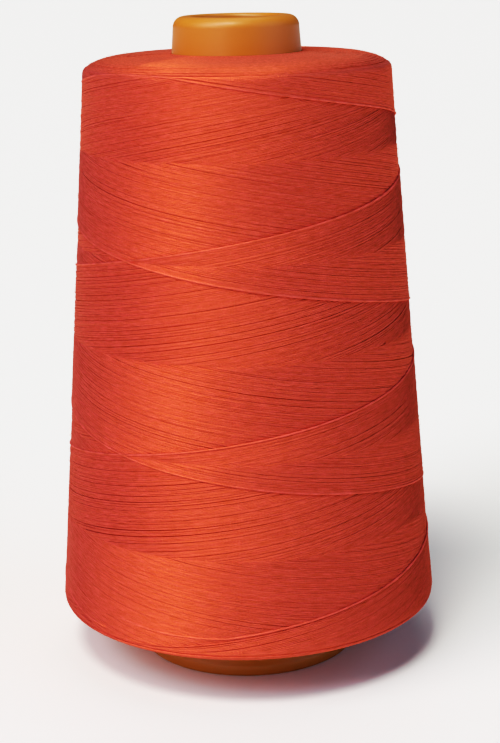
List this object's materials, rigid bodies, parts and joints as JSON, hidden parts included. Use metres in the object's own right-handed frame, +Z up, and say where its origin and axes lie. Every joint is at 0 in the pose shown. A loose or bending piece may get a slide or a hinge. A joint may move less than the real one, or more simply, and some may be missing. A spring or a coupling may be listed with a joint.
{
  "type": "cone of sewing thread",
  "caption": "Tapered plastic core, open right through, with a cross-wound package of sewing thread that leaves its nose and foot bare.",
  "frame": {"origin": "on the cone's axis, at the bottom of the base rim it stands on", "axes": "+Z up the axis towards the nose, +X to the right and +Y to the back as the winding is modelled"},
  "size_m": [0.102, 0.102, 0.17],
  "materials": {
    "core_plastic": "ochre moulded polypropylene, satin",
    "thread": "orange-red spun sewing thread, matt with a soft sheen"
  },
  "bodies": {
    "root": {"cone_core": "core_plastic", "thread_package": "thread"}
  },
  "joints": []
}
